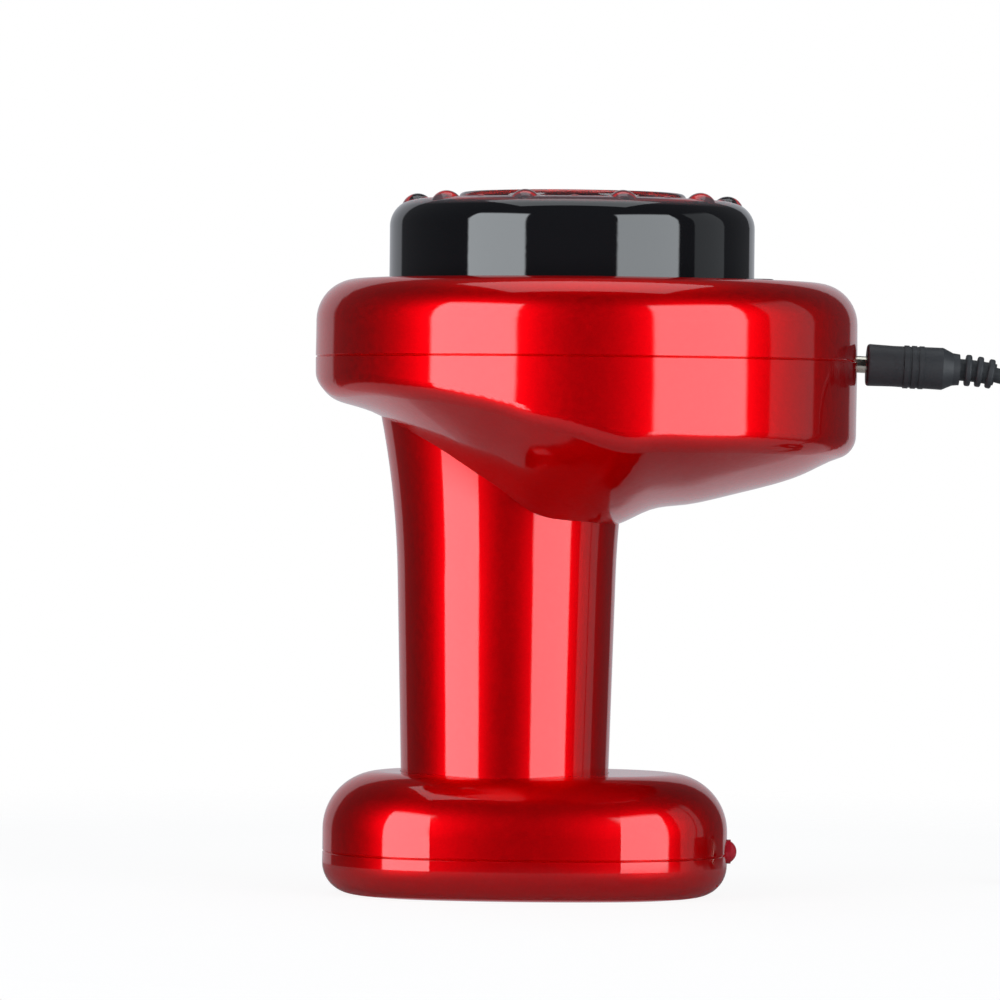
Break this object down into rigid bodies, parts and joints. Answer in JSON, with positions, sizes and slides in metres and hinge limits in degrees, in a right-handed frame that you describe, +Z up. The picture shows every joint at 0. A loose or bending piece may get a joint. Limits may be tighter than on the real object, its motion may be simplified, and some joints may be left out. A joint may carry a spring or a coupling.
{
  "type": "electric cupping massager",
  "caption": "Hand-held electric cupping massager: round head with a domed suction cup, round handle, oval foot with a lamp, and a plugged-in charging lead.",
  "frame": {"origin": "on the plane the foot stands on, below the centre of the round head", "axes": "+Z up through the head, +X towards the charging socket and the foot lamp, +Y to the back"},
  "size_m": [0.2314, 0.1116, 0.1446],
  "materials": {
    "red_housing": "high-gloss candy red",
    "panel_gloss": "high-gloss slate black",
    "key_gloss": "gloss slate black",
    "smoke_cup": "smoke grey, translucent, glossy",
    "circuit_board": "green solder mask",
    "black_parts": "moulded black",
    "lamp_red": "clear red",
    "black_rubber": "satin dark grey",
    "soft_seal": "soft grey silicone",
    "port_grey": "satin grey",
    "heater_foil": "thin foil heater",
    "inner_plastic": "moulded natural white",
    "steel": "zinc plated",
    "brass_part": "turned",
    "plated_contact": "nickel plated",
    "contact_tongue": "moulded white",
    "cell_wrap": "shrink wrap"
  },
  "bodies": {
    "housing": {"air_block": "inner_plastic", "air_hose": "soft_seal", "battery_carrier": "inner_plastic", "battery_cell": "cell_wrap", "battery_contact": "steel", "battery_spring": "steel", "board_chips": "black_parts", "board_screws": "steel", "bracket_screws": "steel", "charge_jack": "black_parts", "clamp_screws": "steel", "control_board": "circuit_board", "control_panel": "panel_gloss", "cup_seal": "soft_seal", "foot_cover": "red_housing", "foot_lamp": "lamp_red", "foot_screws": "steel", "foot_shell": "red_housing", "frame_plate": "inner_plastic", "frame_screws": "steel", "handle_clamp": "steel", "handle_screws": "steel", "handle_tube": "red_housing", "head_cover": "red_housing", "head_shell": "red_housing", "heater_ring": "heater_foil", "indicator_lamps": "lamp_red", "jack_pin": "brass_part", "key_switches": "black_parts", "lamp_board": "circuit_board", "light_board": "circuit_board", "light_tub": "inner_plastic", "main_board": "circuit_board", "massage_cup": "smoke_cup", "pump_bracket": "steel", "pump_cap": "inner_plastic", "pump_diaphragm": "soft_seal", "pump_housing": "inner_plastic", "pump_motor": "steel", "pump_rocker": "inner_plastic", "red_lamps": "lamp_red", "release_valve": "steel", "suction_port": "port_grey", "valve_spring": "steel"},
    "key_heat": {"key_heat": "key_gloss"},
    "key_power": {"key_power": "key_gloss"},
    "key_suction": {"key_suction": "key_gloss"},
    "pump_drive": {"pump_shaft": "steel", "pump_rotor": "steel", "pump_eccentric": "brass_part"},
    "valve_stem": {"valve_plunger": "steel"},
    "charging_lead": {"plug_barrel": "plated_contact", "plug_body": "black_rubber", "strain_relief": "black_rubber", "cord_lead": "black_rubber", "cord_coil": "black_rubber", "usb_plug_body": "black_rubber", "usb_plug_shell": "plated_contact", "usb_plug_tongue": "contact_tongue"}
  },
  "joints": [
    {"name": "key_heat_press", "type": "slide", "parent": "housing", "child": "key_heat", "axis": [0, 0, -1], "range_m": [0, 0.0005], "stiffness_N_per_m": 800, "springref_m": -0.0005},
    {"name": "key_power_press", "type": "slide", "parent": "housing", "child": "key_power", "axis": [0, 0, -1], "range_m": [0, 0.0005], "stiffness_N_per_m": 800, "springref_m": -0.0005},
    {"name": "key_suction_press", "type": "slide", "parent": "housing", "child": "key_suction", "axis": [0, 0, -1], "range_m": [0, 0.0005], "stiffness_N_per_m": 800, "springref_m": -0.0005},
    {"name": "pump_spin", "type": "hinge", "parent": "housing", "child": "pump_drive", "pos_m": [0.03, -0.0155, 0.101], "axis": [0, 1, 0], "continuous": true},
    {"name": "valve_open", "type": "slide", "parent": "housing", "child": "valve_stem", "axis": [-1, 0, 0], "range_m": [0, 0.0012], "stiffness_N_per_m": 300, "springref_m": -0.001},
    {"name": "plug_insert", "type": "slide", "parent": "housing", "child": "charging_lead", "axis": [0.999, 0, -0.0436], "range_m": [-0.0015, 0.0075]}
  ]
}
